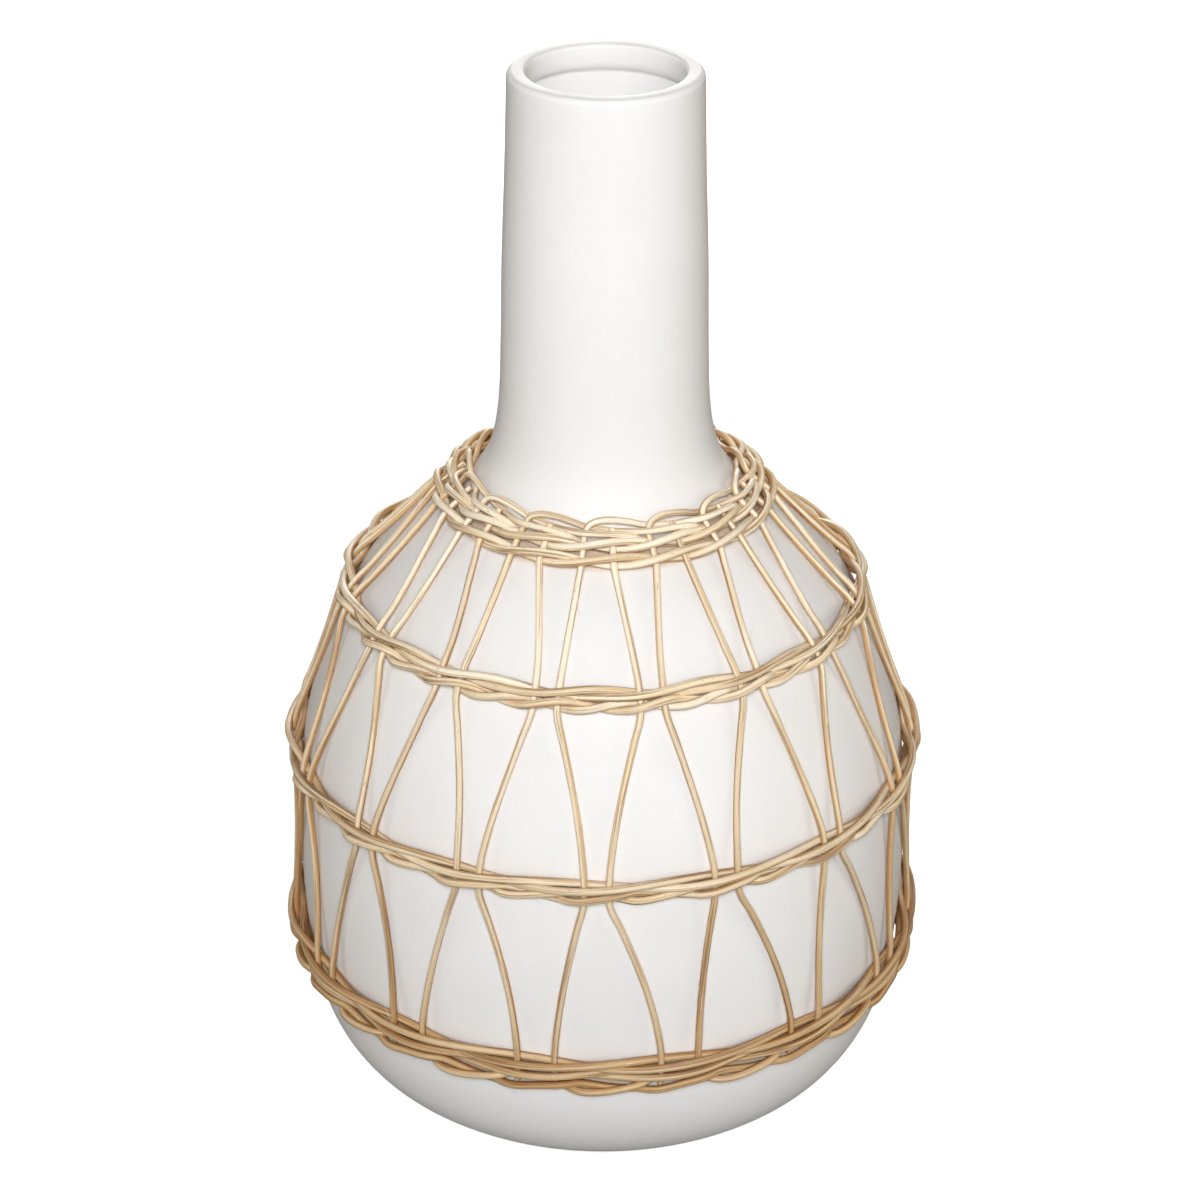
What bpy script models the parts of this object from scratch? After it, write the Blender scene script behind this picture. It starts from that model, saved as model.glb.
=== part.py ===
# Ceramic bottle vase inside an open woven cage of thin canes.
# Metres, +Z up, standing on its foot ring with the mouth at the top.

import math

import bmesh
import bpy
import numpy

# Clearance between any two touching pieces.
GAP = 0.0003

# Vase body: outside outline as radius and height, from the foot edge to the root of the neck.
VASE_HEIGHT = 0.330
BODY_OUTLINE = (
    (0.0570, 0.0006),
    (0.0662, 0.0062),
    (0.0822, 0.0190),
    (0.0908, 0.0370),
    (0.0939, 0.0640),
    (0.0941, 0.0960),
    (0.0904, 0.1290),
    (0.0785, 0.1630),
    (0.0676, 0.1790),
    (0.0572, 0.1900),
    (0.0464, 0.1988),
    (0.0382, 0.2068),
    (0.0335, 0.2160),
)
# The neck above it: radius, and share of the way from its root to the top of the lip.
NECK_OUTLINE = (
    (0.0311, 0.1228),
    (0.0303, 0.2982),
    (0.0298, 0.5088),
    (0.0288, 0.7368),
    (0.0281, 0.9474),
)
NECK_ROOT = BODY_OUTLINE[-1][1]
NECK_LENGTH = VASE_HEIGHT - NECK_ROOT
OUTSIDE_STEPS = (1, 2, 2, 1, 1, 1, 2, 1, 1, 3, 3, 3, 1, 1, 1, 1, 1)
TURN_SEGMENTS = 32
LIP_RADIUS = 0.0280
LIP_OUTER_ROUND = 0.0019
LIP_INNER_ROUND = 0.0013
MOUTH_RADIUS = 0.0226
LIP_DEPTH = 0.0070
BORE_RADIUS = 0.0240
BORE_STEP = 0.0012
WALL = 0.0050
FLOOR_THICKNESS = 0.0080
FLOOR_RADIUS = 0.0580
CORNER_RADIUS = 0.0740
CORNER_RISE = 0.0085
HOLLOW_TOP = 0.0300
HOLLOW_BASE = 0.0300
FOOT_OUTER_RADIUS = 0.0560
FOOT_INNER_RADIUS = 0.0480
FOOT_RECESS = 0.0020

# Canes: uprights run from the base band to the collar, weavers run round the vase.
STAKE_RADIUS = 0.00095
WEAVER_RADIUS = 0.0010
STAKE_SIDES = 5
WEAVER_SIDES = 4

# Distance of each layer of canes from the vase, measured square to its surface.
BEHIND_HEIGHT = GAP + WEAVER_RADIUS
STAKE_HEIGHT = BEHIND_HEIGHT + WEAVER_RADIUS + GAP + STAKE_RADIUS
FRONT_HEIGHT = STAKE_HEIGHT + STAKE_RADIUS + GAP + WEAVER_RADIUS
TUCKED_HEIGHT = GAP + STAKE_RADIUS
OVER_HEIGHT = STAKE_HEIGHT + STAKE_RADIUS + GAP + STAKE_RADIUS

# The cage: pairs of uprights, and the height on the vase of each woven level.
PAIR_COUNT = 16
BAY = 360.0 / PAIR_COUNT
FIRST_PAIR = -1.0
BASE_LEVEL = 0.0572
LOWER_LEVEL = 0.1183
UPPER_LEVEL = 0.1695
COLLAR_LEVEL = 0.1982
BASE_HALF_PAIR = 0.0050
LOWER_HALF_PAIR = 0.0036
UPPER_HALF_PAIR = 0.0036
COLLAR_HALF_PAIR = 0.0042

# Each level's pairs are turned a little from even, and stand wider apart at the front.
BASE_DRIFT = (2.3, 6.8)
LOWER_DRIFT = (0.1, 1.0)
UPPER_DRIFT = (0.2, -0.6)
COLLAR_DRIFT = (-0.9, 6.0)

# Distance between the rows of a level at the pairs, and their swell between the pairs.
COLLAR_ROWS = 0.0050
CLOSE_ROWS = 0.0031
BASE_ROWS = 0.0038
ROW_CLEAR = 0.0024
ROW_SWELL = 0.0005
ROW_SHIFT = 0.0010
STAKE_END = 0.0013

# Twists of a weaver round its partner: share of the free bay, turn angle.
HOLD_ANGLE = -12.0
HOLD_RADIUS = (FRONT_HEIGHT - STAKE_HEIGHT) / math.cos(math.radians(HOLD_ANGLE))
HALF_TWIST_RADIUS = 0.00125
FULL_TWIST_RADIUS = 0.0013
HALF_TWIST = ((0.338, 65.0), (0.662, 125.0))
FULL_TWIST = ((0.2, 72.0), (0.4, 144.0), (0.6, 216.0), (0.8, 288.0))

CLAY_COLOUR = (0.86, 0.85, 0.82, 1.0)
STAKE_COLOUR = (0.74, 0.56, 0.33, 1.0)
WEAVER_COLOUR = (0.66, 0.45, 0.23, 1.0)


def empty_scene():
    for item in list(bpy.data.objects):
        bpy.data.objects.remove(item, do_unlink=True)


def material(name, colour, roughness):
    made = bpy.data.materials.new(name)
    made.use_nodes = True
    shader = made.node_tree.nodes["Principled BSDF"]
    shader.inputs["Base Color"].default_value = colour
    shader.inputs["Roughness"].default_value = roughness
    shader.inputs["Metallic"].default_value = 0.0
    made.diffuse_color = colour
    return made


def add_object(name, data, colour, roughness):
    data.materials.append(material(name + "_finish", colour, roughness))
    made = bpy.data.objects.new(name, data)
    bpy.context.scene.collection.objects.link(made)
    return made


# Smooth curve through the outline points, as many steps as asked between each two.
def smooth_outline(points, steps):
    ends = [points[0]] + list(points) + [points[-1]]
    line = []
    for index in range(len(points) - 1):
        a, b, c, d = (numpy.array(ends[index + offset]) for offset in range(4))
        for step in range(steps):
            t = step / steps
            line.append(
                0.5 * (
                    2.0 * b
                    + (c - a) * t
                    + (2.0 * a - 5.0 * b + 4.0 * c - d) * t ** 2
                    + (3.0 * b - a - 3.0 * c + d) * t ** 3
                )
            )
    line.append(numpy.array(points[-1]))
    return numpy.array(line)


# The outside of the vase as a line that can be followed by distance.
SURFACE_DETAIL = 24
SLOPE_SPAN = 0.0040
OUTSIDE_OUTLINE = BODY_OUTLINE + tuple(
    (radius, NECK_ROOT + share * NECK_LENGTH) for radius, share in NECK_OUTLINE
)
SURFACE = smooth_outline(OUTSIDE_OUTLINE, SURFACE_DETAIL)
SURFACE_STEPS = numpy.linalg.norm(numpy.diff(SURFACE, axis=0), axis=1)
SURFACE_LENGTH = numpy.concatenate([[0.0], numpy.cumsum(SURFACE_STEPS)])


def surface_point(along):
    radius = numpy.interp(along, SURFACE_LENGTH, SURFACE[:, 0])
    height = numpy.interp(along, SURFACE_LENGTH, SURFACE[:, 1])
    return float(radius), float(height)


def surface_normal(along):
    low = surface_point(along - 0.5 * SLOPE_SPAN)
    high = surface_point(along + 0.5 * SLOPE_SPAN)
    across = high[0] - low[0]
    up = high[1] - low[1]
    size = math.hypot(across, up)
    return up / size, -across / size


def level_distance(height):
    return float(numpy.interp(height, SURFACE[:, 1], SURFACE_LENGTH))


BASE_LINE = level_distance(BASE_LEVEL)
LOWER_LINE = level_distance(LOWER_LEVEL)
UPPER_LINE = level_distance(UPPER_LEVEL)
COLLAR_LINE = level_distance(COLLAR_LEVEL)


# A point of the cage: angle round the vase in degrees, distance up its side, height off it.
def cage_point(angle, along, off):
    radius, height = surface_point(along)
    out, up = surface_normal(along)
    turn = math.radians(angle)
    reach = radius + off * out
    return numpy.array([reach * math.sin(turn), -reach * math.cos(turn), height + off * up])


# Where a pair that would stand at an even angle really stands at its level.
def drifted(angle, drift):
    turn, crowding = drift
    return angle + turn + crowding * math.sin(math.radians(angle))


def half_pair_angle(half_width, line):
    return math.degrees(half_width / (surface_point(line)[0] + STAKE_HEIGHT))


# Turns an outline that starts and ends on the upright axis into a closed body.
def turned(name, outline, segments):
    shape = bmesh.new()
    corners = [shape.verts.new((radius, 0.0, height)) for radius, height in outline]
    edges = [shape.edges.new(pair) for pair in zip(corners[:-1], corners[1:])]
    bmesh.ops.spin(
        shape,
        geom=corners + edges,
        cent=(0.0, 0.0, 0.0),
        axis=(0.0, 0.0, 1.0),
        angle=2.0 * math.pi,
        steps=segments,
        use_merge=True,
    )
    bmesh.ops.remove_doubles(shape, verts=shape.verts, dist=0.00001)
    bmesh.ops.recalc_face_normals(shape, faces=shape.faces)
    mesh = bpy.data.meshes.new(name)
    shape.to_mesh(mesh)
    shape.free()
    mesh.shade_smooth()
    return mesh


# Rings of the outside, closer together where the shoulder flows into the neck.
def outside_rings():
    stops = SURFACE_LENGTH[::SURFACE_DETAIL]
    points = []
    for start, end, steps in zip(stops[:-1], stops[1:], OUTSIDE_STEPS):
        for step in range(steps):
            points.append(surface_point(start + (end - start) * step / steps))
    points.append(surface_point(stops[-1]))
    return points


# Lip from the outside of the neck over its rounded outer and inner edges into the mouth.
def lip_outline():
    points = []
    for middle, rounding, angles in (
        (LIP_RADIUS - LIP_OUTER_ROUND, LIP_OUTER_ROUND, (8.0, 50.0, 90.0)),
        (MOUTH_RADIUS + LIP_INNER_ROUND, LIP_INNER_ROUND, (90.0, 135.0, 172.0)),
    ):
        for angle in angles:
            turn = math.radians(angle)
            radius = middle + rounding * math.cos(turn)
            points.append((radius, VASE_HEIGHT - rounding + rounding * math.sin(turn)))
    points.append((MOUTH_RADIUS, VASE_HEIGHT - LIP_DEPTH))
    points.append((BORE_RADIUS, VASE_HEIGHT - LIP_DEPTH - BORE_STEP))
    return points


# Hollow of the vase, one wall thickness inside the outside outline, from the neck to the floor.
def hollow_outline():
    neck_top = level_distance(VASE_HEIGHT - HOLLOW_TOP)
    floor_edge = level_distance(HOLLOW_BASE)
    points = []
    for along in numpy.linspace(neck_top, floor_edge, 8):
        radius, height = surface_point(along)
        out, up = surface_normal(along)
        points.append((radius - WALL * out, height - WALL * up))
    points.append((CORNER_RADIUS, FLOOR_THICKNESS + CORNER_RISE))
    points.append((FLOOR_RADIUS, FLOOR_THICKNESS))
    points.append((0.0, FLOOR_THICKNESS))
    return points


def vase_body():
    outline = [(0.0, FOOT_RECESS), (FOOT_INNER_RADIUS - FOOT_RECESS, FOOT_RECESS)]
    outline.append((FOOT_INNER_RADIUS, 0.0))
    outline.append((FOOT_OUTER_RADIUS, 0.0))
    outline += outside_rings()
    outline += lip_outline()
    outline += hollow_outline()
    return add_object("vase_body", turned("vase_body", outline, TURN_SEGMENTS), CLAY_COLOUR, 0.6)


# Cross-section of a cane, a guide that the canes are swept with.
def section(name, radius, sides):
    curve = bpy.data.curves.new(name, "CURVE")
    curve.dimensions = "2D"
    spline = curve.splines.new("POLY")
    spline.points.add(sides - 1)
    for side in range(sides):
        turn = 2.0 * math.pi * side / sides
        spline.points[side].co = (radius * math.cos(turn), -radius * math.sin(turn), 0.0, 1.0)
    spline.use_cyclic_u = True
    guide = bpy.data.objects.new(name, curve)
    guide.hide_render = True
    guide.display_type = "WIRE"
    bpy.context.scene.collection.objects.link(guide)
    return guide


# A cane along a line of points: a closed ring, or a length with two cut ends.
def cane(name, line, guide, closed, colour):
    curve = bpy.data.curves.new(name, "CURVE")
    curve.dimensions = "3D"
    curve.bevel_mode = "OBJECT"
    curve.bevel_object = guide
    curve.use_fill_caps = not closed
    spline = curve.splines.new("POLY")
    spline.points.add(len(line) - 1)
    for point, place in zip(spline.points, line):
        point.co = (place[0], place[1], place[2], 1.0)
    spline.use_cyclic_u = closed
    spline.use_smooth = True
    return add_object(name, curve, colour, 0.55)


# One weaver of a twisted row: held in front of or behind each pair, turning in the bays.
# Between the pairs its row swells away from the level's middle, and shifts in or out.
def weaver(name, line, offset, row, swell, shift, half_pair, drift, full, starts_behind):
    hold = half_pair_angle(half_pair, line) / BAY + 0.05
    twist = FULL_TWIST if full else HALF_TWIST
    twist_radius = FULL_TWIST_RADIUS if full else HALF_TWIST_RADIUS
    points = []
    angle = 180.0 if starts_behind else 0.0
    for pair in range(PAIR_COUNT):
        middle = FIRST_PAIR + (pair + offset) * BAY
        stops = [(-hold, 0.0, HOLD_RADIUS, 0.0), (hold, 0.0, HOLD_RADIUS, 0.0)]
        for share, turned in twist:
            place = hold + share * (1.0 - 2.0 * hold)
            stops.append((place, turned, twist_radius, math.sin(share * math.pi)))
        for place, turned, distance, free in stops:
            turn = math.radians(angle + HOLD_ANGLE + turned)
            points.append(
                cage_point(
                    drifted(middle + place * BAY, drift),
                    line + row + swell * free + distance * math.sin(turn),
                    STAKE_HEIGHT + shift * free + distance * math.cos(turn),
                )
            )
        angle += 360.0 if full else 180.0
    return cane(name, points, WEAVER_SECTION, True, WEAVER_COLOUR)


# Two weavers that twist round each other, one in front of each pair and one behind it.
def twisted_row(name, line, offset, row, swell, shift, half_pair, drift, full):
    for letter, starts_behind in (("a", False), ("b", True)):
        weaver(
            name + "_cane_" + letter, line, offset, row, swell, shift,
            half_pair, drift, full, starts_behind,
        )


# Where an upright crosses each level: line, side step in degrees, drift of the level,
# and how far above and below the line it stays straight.
def stake_levels(side):
    inner = 0.5 * BAY
    clear = 0.5 * CLOSE_ROWS + ROW_CLEAR
    collar = half_pair_angle(COLLAR_HALF_PAIR, COLLAR_LINE)
    upper = inner - half_pair_angle(UPPER_HALF_PAIR, UPPER_LINE)
    lower = half_pair_angle(LOWER_HALF_PAIR, LOWER_LINE)
    base = inner - half_pair_angle(BASE_HALF_PAIR, BASE_LINE)
    return (
        (COLLAR_LINE, side * collar, COLLAR_DRIFT, 0.0, ROW_CLEAR),
        (UPPER_LINE, side * upper, UPPER_DRIFT, clear, clear),
        (LOWER_LINE, side * lower, LOWER_DRIFT, clear, clear),
        (BASE_LINE, side * base, BASE_DRIFT, BASE_ROWS + ROW_CLEAR, BASE_ROWS + STAKE_END),
    )


# Between two levels an upright bends early and dips towards the vase.
SPAN_SHARES = (0.33, 0.66)
COLLAR_SPAN_DIP = 0.0020
MIDDLE_SPAN_DIP = 0.0021
BASE_SPAN_DIP = 0.0013


# The upright from the collar down to its cut end in the base band.
def stake_down(pair, side):
    middle = FIRST_PAIR + pair * BAY
    levels = stake_levels(side)
    points = []
    for index, (line, step, drift, above, below) in enumerate(levels):
        angle = drifted(middle + step, drift)
        if index > 0:
            points.append(cage_point(angle, line + above, STAKE_HEIGHT))
        points.append(cage_point(angle, line - below, STAKE_HEIGHT))
        if index == len(levels) - 1:
            break
        next_line, next_step, next_drift, next_above, next_below = levels[index + 1]
        next_angle = drifted(middle + next_step, next_drift)
        start = line - below
        end = next_line + next_above
        for share in SPAN_SHARES:
            eased = 0.65 * math.sin(share * math.pi / 2.0) + 0.35 * share
            dip = (COLLAR_SPAN_DIP, MIDDLE_SPAN_DIP, BASE_SPAN_DIP)[index]
            points.append(
                cage_point(
                    angle + (next_angle - angle) * eased,
                    start + (end - start) * share,
                    STAKE_HEIGHT - dip * math.sin(share * math.pi),
                )
            )
    return points


# The right upright of a pair stops with a cut end under the arch of the left one.
RIGHT_TAIL = 0.0054


def right_stake(pair):
    angle = drifted(FIRST_PAIR + pair * BAY + stake_levels(1)[0][1], COLLAR_DRIFT)
    points = [
        cage_point(angle, COLLAR_LINE + COLLAR_ROWS + RIGHT_TAIL, STAKE_HEIGHT),
        cage_point(angle, COLLAR_LINE + 0.8 * COLLAR_ROWS, STAKE_HEIGHT),
    ]
    points += stake_down(pair, 1)
    name = "right_stake_%02d" % (pair + 1)
    return cane(name, points, STAKE_SECTION, False, STAKE_COLOUR)


# The left upright arches over, passes behind the next pair and in front of the one after.
# Each stop: place in bays from its own pair, rise over the collar's top row, height off.
BORDER_PLACES = (2.40, 1.76, 1.50, 1.25, 0.75, 0.50, 0.25, 0.02, -0.15, -0.215, -0.215)
BORDER_RISES = (
    0.0029,
    0.0031,
    0.0045,
    0.0053,
    0.0056,
    0.0073,
    0.0084,
    0.0087,
    0.0073,
    0.0048,
    -0.0008,
)
BORDER_HEIGHTS = (
    OVER_HEIGHT + GAP,
    OVER_HEIGHT,
    0.5 * (OVER_HEIGHT + TUCKED_HEIGHT),
    TUCKED_HEIGHT,
    TUCKED_HEIGHT,
    0.4 * TUCKED_HEIGHT + 0.6 * STAKE_HEIGHT,
    STAKE_HEIGHT,
    STAKE_HEIGHT + 0.5 * STAKE_RADIUS,
    STAKE_HEIGHT + 0.5 * STAKE_RADIUS,
    STAKE_HEIGHT,
    STAKE_HEIGHT,
)


def left_stake(pair):
    middle = FIRST_PAIR + pair * BAY
    points = []
    for place, rise, off in zip(BORDER_PLACES, BORDER_RISES, BORDER_HEIGHTS):
        angle = drifted(middle + place * BAY, COLLAR_DRIFT)
        points.append(cage_point(angle, COLLAR_LINE + COLLAR_ROWS + rise, off))
    points += stake_down(pair, -1)
    name = "left_stake_%02d" % (pair + 1)
    return cane(name, points, STAKE_SECTION, False, STAKE_COLOUR)


# Neighbouring rows shift opposite ways between the pairs, so that they nest.
def base_band():
    rows = (
        (BASE_ROWS, ROW_SWELL, ROW_SHIFT, False),
        (0.0, 0.0, -ROW_SHIFT, False),
        (-BASE_ROWS, -2.0 * ROW_SWELL, ROW_SHIFT, True),
    )
    for number, (row, swell, shift, full) in enumerate(rows, 1):
        twisted_row(
            "base_band_row_%d" % number, BASE_LINE, 0.5, row, swell, shift,
            BASE_HALF_PAIR, BASE_DRIFT, full,
        )


def middle_band(name, line, offset, half_pair, drift):
    rows = (
        (0.5 * CLOSE_ROWS, ROW_SWELL, ROW_SHIFT, False),
        (-0.5 * CLOSE_ROWS, -ROW_SWELL, -ROW_SHIFT, True),
    )
    for number, (row, swell, shift, full) in enumerate(rows, 1):
        twisted_row(
            "%s_row_%d" % (name, number), line, offset, row, swell, shift,
            half_pair, drift, full,
        )


def collar():
    for number, row in ((1, COLLAR_ROWS), (2, 0.0)):
        twisted_row(
            "collar_row_%d" % number, COLLAR_LINE, 0.0, row, 0.0, 0.0,
            COLLAR_HALF_PAIR, COLLAR_DRIFT, False,
        )


def uprights():
    for pair in range(PAIR_COUNT):
        left_stake(pair)
        right_stake(pair)


empty_scene()
STAKE_SECTION = section("stake_section", STAKE_RADIUS, STAKE_SIDES)
WEAVER_SECTION = section("weaver_section", WEAVER_RADIUS, WEAVER_SIDES)
vase_body()
base_band()
middle_band("lower_band", LOWER_LINE, 0.0, LOWER_HALF_PAIR, LOWER_DRIFT)
middle_band("upper_band", UPPER_LINE, 0.5, UPPER_HALF_PAIR, UPPER_DRIFT)
collar()
uprights()
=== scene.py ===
# Looks of a ceramic bottle vase inside an open woven cage of thin canes.
# Metres, +Z up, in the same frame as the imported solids.

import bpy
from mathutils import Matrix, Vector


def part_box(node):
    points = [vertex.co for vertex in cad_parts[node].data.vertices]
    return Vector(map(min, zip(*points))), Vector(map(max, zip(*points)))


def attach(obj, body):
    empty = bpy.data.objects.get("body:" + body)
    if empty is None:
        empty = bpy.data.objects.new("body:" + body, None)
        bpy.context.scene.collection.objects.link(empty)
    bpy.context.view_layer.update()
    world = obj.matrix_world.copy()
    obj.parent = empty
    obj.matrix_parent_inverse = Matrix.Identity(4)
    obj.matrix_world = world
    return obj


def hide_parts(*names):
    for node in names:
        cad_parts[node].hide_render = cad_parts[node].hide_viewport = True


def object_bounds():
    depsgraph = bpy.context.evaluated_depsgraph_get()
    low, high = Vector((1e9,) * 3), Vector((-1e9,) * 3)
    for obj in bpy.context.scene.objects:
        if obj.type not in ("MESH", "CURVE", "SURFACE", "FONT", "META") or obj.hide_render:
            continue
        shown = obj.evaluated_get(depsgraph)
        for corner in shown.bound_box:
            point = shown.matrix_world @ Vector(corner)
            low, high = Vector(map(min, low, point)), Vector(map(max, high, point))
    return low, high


bl_info = {
    "name": "Caged bottle vase",
    "version": (1, 0, 0),
    "blender": (4, 5, 0),
    "location": "View3D > Sidebar > Vase",
    "description": "Models a ceramic bottle vase and the cane cage woven round it",
    "category": "Object",
}

import math
import random

import bmesh
import bpy
import numpy
from bpy.props import FloatProperty, FloatVectorProperty, IntProperty, PointerProperty
from bpy.types import Operator, Panel, PropertyGroup
from mathutils import Matrix, Vector

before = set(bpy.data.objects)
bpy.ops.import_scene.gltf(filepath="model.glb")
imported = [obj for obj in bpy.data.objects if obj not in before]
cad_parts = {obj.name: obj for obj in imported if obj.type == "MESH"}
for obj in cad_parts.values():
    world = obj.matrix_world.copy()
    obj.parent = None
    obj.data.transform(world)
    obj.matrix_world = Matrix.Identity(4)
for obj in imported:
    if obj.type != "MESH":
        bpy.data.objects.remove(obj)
SOLID_BOX = [list(corner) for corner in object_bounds()]
SOLID_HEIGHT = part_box("vase_body")[1].z

# Outside outline of the vase as radius and height, from the foot edge to the root of the neck.
BODY_OUTLINE = (
    (0.0570, 0.0006),
    (0.0662, 0.0062),
    (0.0822, 0.0190),
    (0.0908, 0.0370),
    (0.0939, 0.0640),
    (0.0941, 0.0960),
    (0.0904, 0.1290),
    (0.0785, 0.1630),
    (0.0676, 0.1790),
    (0.0572, 0.1900),
    (0.0464, 0.1988),
    (0.0382, 0.2068),
    (0.0335, 0.2160),
)
# The neck above it: radius, and share of the way from its root to the top of the lip.
NECK_OUTLINE = (
    (0.0311, 0.1228),
    (0.0303, 0.2982),
    (0.0298, 0.5088),
    (0.0288, 0.7368),
    (0.0281, 0.9474),
)
NECK_ROOT = BODY_OUTLINE[-1][1]
NECK_LENGTH = SOLID_HEIGHT - NECK_ROOT
OUTSIDE_OUTLINE = BODY_OUTLINE + tuple(
    (radius, NECK_ROOT + share * NECK_LENGTH) for radius, share in NECK_OUTLINE
)

# Fineness of the outline, reach of a slope to either side of its point, and distance between
# two rings of the casting.
OUTLINE_STEPS = 24
SLOPE_REACH = 0.002
PROFILE_STEP = 0.0022
MERGED = 0.00001

# The lip: its two roundings from the outside over the top with their angles in degrees, and the
# small step under its band as radius past the mouth's and height over the step. Below it the
# rings of the bore stand close, so that the shading of the bore starts at the step.
LIP_OUTER_ROUND = 0.0019
LIP_INNER_ROUND = 0.0013
LIP_ANGLES = (4.0, 90.0, 176.0)
LIP_STEPS = 10
LIP_DEPTH = 0.0070
MOUTH_STEP = ((0.0, 0.0018), (0.0001, 0.0003), (0.0006, -0.0004))
BORE_DEPTHS = (0.0012, 0.0018, 0.0030, 0.0060, 0.0120)

# The hollow follows the outside from this depth under the lip down to this height, and ends in
# a floor with a round corner.
HOLLOW_TOP_DEPTH = 0.030
HOLLOW_BOTTOM = 0.030
HOLLOW_RINGS = 90
FLOOR_THICKNESS = 0.0080
FLOOR_FLAT_RADIUS = 0.0580
FLOOR_CORNER_REACH = 0.0220
FLOOR_CORNER_RISE = 0.0150
FLOOR_CORNER_STEPS = 8

# The foot ring, with its broken edges as radius past the ring's and height.
FOOT_OUTER_RADIUS = 0.0560
FOOT_INNER_RADIUS = 0.0480
FOOT_RECESS = 0.0020
FOOT_INNER_EDGE = ((-0.0006, 0.0004), (0.0004, 0.0))
FOOT_OUTER_EDGE = ((0.0, 0.0), (0.0006, 0.0002))

# Thickness that the solids give the canes. The layers lie on each other here, as real canes
# do, while the solids keep a clearance between them.
STAKE_RADIUS = 0.00095
WEAVER_RADIUS = 0.0010
BEHIND_HEIGHT = WEAVER_RADIUS
STAKE_HEIGHT = BEHIND_HEIGHT + WEAVER_RADIUS + STAKE_RADIUS
FRONT_HEIGHT = STAKE_HEIGHT + STAKE_RADIUS + WEAVER_RADIUS
TUCKED_HEIGHT = STAKE_RADIUS
OVER_HEIGHT = STAKE_HEIGHT + STAKE_RADIUS + STAKE_RADIUS

# The cage: pairs of uprights, and the height on the vase of each woven level.
PAIR_COUNT = 16
BAY = 360.0 / PAIR_COUNT
FIRST_PAIR = -1.0
BASE_LEVEL = 0.0572
LOWER_LEVEL = 0.1183
UPPER_LEVEL = 0.1695
COLLAR_LEVEL = 0.1982
BASE_HALF_PAIR = 0.0050
LOWER_HALF_PAIR = 0.0036
UPPER_HALF_PAIR = 0.0036
COLLAR_HALF_PAIR = 0.0042

# Each level's pairs are turned a little from even, and stand wider apart at the front, or
# closer with a negative number, all in degrees.
BASE_DRIFT = (2.3, 6.8)
LOWER_DRIFT = (0.1, 1.0)
UPPER_DRIFT = (0.2, -0.6)
COLLAR_DRIFT = (-0.9, 6.0)

# Distance between the rows of each level.
COLLAR_ROWS = 0.0050
CLOSE_ROWS = 0.0028
BASE_ROWS = 0.0036

# Between the pairs a row swells up or down, and shifts in or out.
ROW_SWELL = 0.0004
ROW_SHIFT = 0.0009

# How far an upright stays straight past the rows, and sticks out under the base band.
ROW_CLEAR = 0.0024
STAKE_END = 0.0013

# Twist of a weaver round its partner: its angle at a pair in degrees, its reach in front of the
# uprights and behind them, its radius between the pairs, and how hard a full turn is pressed to
# the pairs. Rows of half turns and of full turns have their points at these places of a bay.
HOLD_ANGLE = -12.0
HOLD_DEPTH = FRONT_HEIGHT - STAKE_HEIGHT
TWIST_RADIUS = 0.00108
HOLD_SHARPNESS = 2.0
WAVE_STOPS = (0.0, 0.1, 0.2, 0.3, 0.4, 0.5, 0.6, 0.7, 0.8, 0.9)
TURN_STOPS = (0.0, 0.07, 0.14, 0.21, 0.28, 0.35, 0.43, 0.5, 0.57, 0.65, 0.72, 0.79, 0.86, 0.93)

# The rows of each level: place over its line, swell, shift, and whether it makes full turns.
# Those of the base band hang this far below even places, as in the photograph.
BASE_ROW_DROPS = (0.0009, 0.0008, 0.0007)
BASE_SHAPES = (
    (BASE_ROWS - BASE_ROW_DROPS[0], ROW_SWELL, ROW_SHIFT, False),
    (-BASE_ROW_DROPS[1], 0.0, -ROW_SHIFT, False),
    (-BASE_ROWS - BASE_ROW_DROPS[2], -2.0 * ROW_SWELL, ROW_SHIFT, True),
)
MIDDLE_SHAPES = (
    (0.5 * CLOSE_ROWS, ROW_SWELL, ROW_SHIFT, False),
    (-0.5 * CLOSE_ROWS, -ROW_SWELL, -ROW_SHIFT, True),
)
COLLAR_SHAPES = ((COLLAR_ROWS, 0.0, 0.0, False), (0.0, 0.0, 0.0, False))

# Between two levels an upright bends early and dips towards the vase. The right one of a pair
# ends this far over the collar's top row.
SPAN_SHARES = (0.17, 0.33, 0.5, 0.67, 0.84)
SPAN_DIPS = (0.0019, 0.0020, 0.0018)
EARLY_BEND = 0.65
RIGHT_TAIL = 0.0054

# The border: place in bays from its own pair, rise over the collar's top row, height off.
BORDER_STOPS = (
    (2.66, 0.0020, 0.6 * TUCKED_HEIGHT + 0.4 * STAKE_HEIGHT),
    (2.48, 0.0025, 0.5 * (STAKE_HEIGHT + OVER_HEIGHT)),
    (2.22, 0.0029, OVER_HEIGHT),
    (1.76, 0.0032, OVER_HEIGHT),
    (1.50, 0.0044, 0.5 * (OVER_HEIGHT + TUCKED_HEIGHT)),
    (1.25, 0.0054, TUCKED_HEIGHT),
    (0.75, 0.0067, TUCKED_HEIGHT),
    (0.50, 0.0077, 0.4 * TUCKED_HEIGHT + 0.6 * STAKE_HEIGHT),
    (0.25, 0.0083, STAKE_HEIGHT),
    (0.04, 0.0081, STAKE_HEIGHT + 0.5 * STAKE_RADIUS),
    (-0.14, 0.0067, STAKE_HEIGHT + 0.5 * STAKE_RADIUS),
    (-0.210, 0.0042, STAKE_HEIGHT),
    (-0.215, -0.0008, STAKE_HEIGHT),
)

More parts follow.
